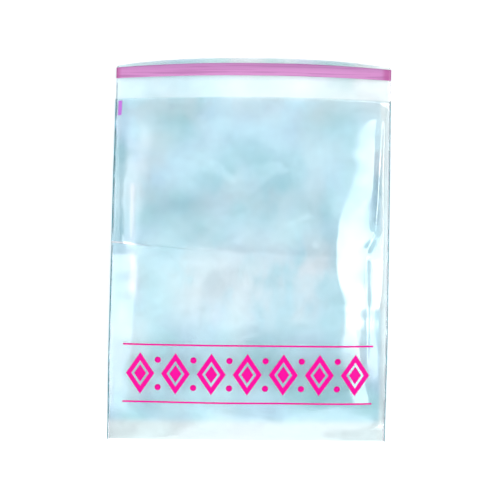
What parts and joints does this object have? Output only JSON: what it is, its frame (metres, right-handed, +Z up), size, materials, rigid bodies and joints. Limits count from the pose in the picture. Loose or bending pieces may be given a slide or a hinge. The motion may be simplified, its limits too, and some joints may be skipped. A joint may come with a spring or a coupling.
{
  "type": "garment bag",
  "caption": "Clear film garment bag with an open mouth and a self-adhesive flap under a tinted release liner, lying flat.",
  "frame": {"origin": "under the middle of the laid-out bag, on the surface that it rests on", "axes": "+X across the bag, +Y from the bottom fold to the flap, +Z up from the back panel to the front panel"},
  "size_m": [0.3053, 0.4144, 0.0245],
  "materials": {
    "clear_film": "clear gloss",
    "adhesive": "milky clear",
    "liner_film": "satin"
  },
  "bodies": {
    "root": {"bag_film": "clear_film", "adhesive_strip": "adhesive", "release_liner": "liner_film"}
  },
  "joints": []
}
